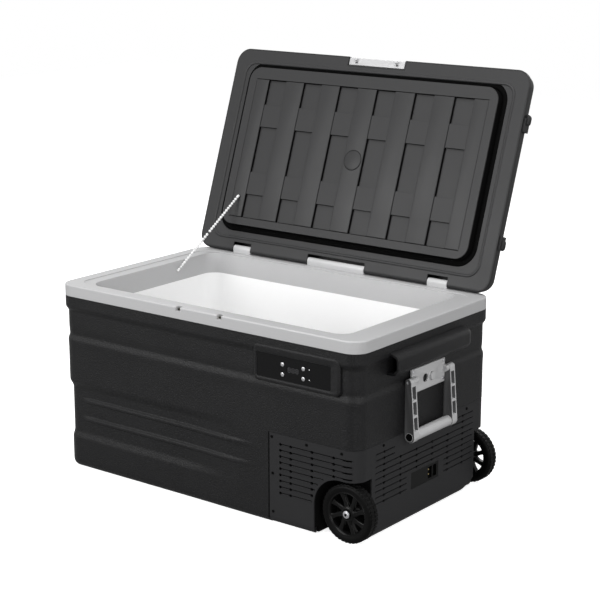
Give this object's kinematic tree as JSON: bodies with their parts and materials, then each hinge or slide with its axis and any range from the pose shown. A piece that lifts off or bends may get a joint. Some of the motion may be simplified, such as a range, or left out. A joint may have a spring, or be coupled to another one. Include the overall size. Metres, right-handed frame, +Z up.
{
  "type": "compressor cooler fridge",
  "caption": "Chest-type compressor cooler fridge on wheels with a hinged lid, swing handles, control panel, vented machine end and a stepped white liner.",
  "frame": {"origin": "centre of the cabinet's flat underside, on the floor", "axes": "+X along the front to the compressor and wheel end, +Y from the front to the hinge side, +Z up"},
  "size_m": [0.848, 0.6489, 0.8691],
  "materials": {
    "shell_black": "fine-textured black moulding",
    "panel_black": "satin dark grey moulding",
    "rim_grey": "satin light grey moulding",
    "grip_grey": "soft light grey grip",
    "liner_white": "smooth white food-safe liner",
    "foam_cream": "foamed-in-place insulation",
    "lid_black": "fine-textured black moulding",
    "lid_grey": "satin dark grey moulding",
    "seal_black": "matt rubber seal",
    "tyre_black": "black rubber tread",
    "hub_black": "glossy black moulding",
    "steel": "zinc-plated steel",
    "screw_black": "black screws",
    "window_black": "glossy black window",
    "display_dark": "unlit display",
    "led_clear": "clear light pipes",
    "button_silver": "satin silver buttons",
    "board_green": "printed circuit board",
    "socket_black": "matt black socket plate",
    "contact_brass": "plated contacts",
    "compressor_paint": "gloss black paint",
    "chassis_steel": "grey painted sheet",
    "fan_black": "black fan plastic",
    "aluminium": "plain aluminium",
    "copper": "copper tube",
    "chain_white": "white bead chain"
  },
  "bodies": {
    "cabinet": {"outer_shell": "shell_black", "rim_frame": "rim_grey", "inner_liner": "liner_white", "insulation_foam": "foam_cream", "evaporator": "aluminium", "base_chassis": "chassis_steel", "wheel_wells": "panel_black", "vent_panel": "panel_black", "vent_panel_screws": "screw_black", "socket_panel": "socket_black", "dc_inlet": "contact_brass", "strap_hood_right": "shell_black", "strap_hood_left": "shell_black", "control_window": "window_black", "display_module": "display_dark", "led_indicators": "led_clear", "control_board": "board_green", "compressor": "compressor_paint", "compressor_grommets": "seal_black", "condenser": "aluminium", "fan_frame": "fan_black", "power_module": "aluminium", "filter_drier": "copper", "refrigerant_pipes": "copper", "axle": "steel", "axle_caps": "steel", "right_handle_bracket": "rim_grey", "right_handle_screws": "steel", "right_handle_pin": "steel", "left_handle_bracket": "rim_grey", "left_handle_screws": "steel", "left_handle_pin": "steel", "hinge_knuckles": "rim_grey", "hinge_pins": "steel", "chain_anchor_rim": "chain_white"},
    "lid": {"lid_outer": "lid_black", "lid_inner": "lid_grey", "lid_foam": "foam_cream", "lid_gasket": "seal_black", "foam_cap": "lid_grey", "latch_pin": "steel", "chain_anchor_lid": "chain_white"},
    "latch": {"latch_bar": "rim_grey"},
    "right_handle": {"right_handle_arms": "rim_grey", "right_handle_grip": "grip_grey"},
    "left_handle": {"left_handle_arms": "rim_grey", "left_handle_grip": "grip_grey"},
    "front_wheel": {"front_wheel_hub": "hub_black", "front_wheel_tyre": "tyre_black"},
    "rear_wheel": {"rear_wheel_hub": "hub_black", "rear_wheel_tyre": "tyre_black"},
    "fan": {"fan_rotor": "fan_black"},
    "power_key": {"power_button": "button_silver"},
    "settings_key": {"settings_button": "button_silver"},
    "plus_key": {"plus_button": "button_silver"},
    "minus_key": {"minus_button": "button_silver"},
    "chain_lower_run": {"chain_lower": "chain_white"},
    "chain_upper_run": {"chain_upper": "chain_white"}
  },
  "joints": [
    {"name": "lid_hinge", "type": "hinge", "parent": "cabinet", "child": "lid", "pos_m": [0, 0.231, 0.4225], "axis": [1, 0, 0], "range_deg": [0, 109.4]},
    {"name": "latch_hinge", "type": "hinge", "parent": "lid", "child": "latch", "pos_m": [0, 0.39339, 0.85353], "axis": [-1, 0, 0], "range_deg": [0, 30]},
    {"name": "right_handle_swing", "type": "hinge", "parent": "cabinet", "child": "right_handle", "pos_m": [0.4045, 0, 0.298], "axis": [0, -1, 0], "range_deg": [0, 90]},
    {"name": "left_handle_swing", "type": "hinge", "parent": "cabinet", "child": "left_handle", "pos_m": [-0.4045, 0, 0.298], "axis": [0, 1, 0], "range_deg": [0, 90]},
    {"name": "front_wheel_spin", "type": "hinge", "parent": "cabinet", "child": "front_wheel", "pos_m": [0.367, -0.2185, 0.0605], "axis": [0, 1, 0], "continuous": true},
    {"name": "rear_wheel_spin", "type": "hinge", "parent": "cabinet", "child": "rear_wheel", "pos_m": [0.367, 0.2185, 0.0605], "axis": [0, 1, 0], "continuous": true},
    {"name": "fan_spin", "type": "hinge", "parent": "cabinet", "child": "fan", "pos_m": [0.3, 0.062, 0.084], "axis": [1, 0, 0], "continuous": true},
    {"name": "power_press", "type": "slide", "parent": "cabinet", "child": "power_key", "axis": [0, 1, 0], "range_m": [0, 0.0008], "stiffness_N_per_m": 500},
    {"name": "settings_press", "type": "slide", "parent": "cabinet", "child": "settings_key", "axis": [0, 1, 0], "range_m": [0, 0.0008], "stiffness_N_per_m": 500},
    {"name": "plus_press", "type": "slide", "parent": "cabinet", "child": "plus_key", "axis": [0, 1, 0], "range_m": [0, 0.0008], "stiffness_N_per_m": 500},
    {"name": "minus_press", "type": "slide", "parent": "cabinet", "child": "minus_key", "axis": [0, 1, 0], "range_m": [0, 0.0008], "stiffness_N_per_m": 500},
    {"name": "chain_lower_fold", "type": "hinge", "parent": "cabinet", "child": "chain_lower_run", "pos_m": [-0.338, 0.078, 0.391], "axis": [-0.9222, 0.3583, -0.1457], "range_deg": [0, 117.87]},
    {"name": "chain_upper_fold", "type": "hinge", "parent": "lid", "child": "chain_upper_run", "pos_m": [-0.297, 0.24553, 0.54355], "axis": [-0.984, 0.1373, 0.1137], "range_deg": [0, 65.72]}
  ],
  "couplings": [
    {"joint": "chain_lower_fold", "follows": "lid_hinge", "ratio": 1.0729},
    {"joint": "chain_upper_fold", "follows": "lid_hinge", "ratio": 0.59613}
  ]
}
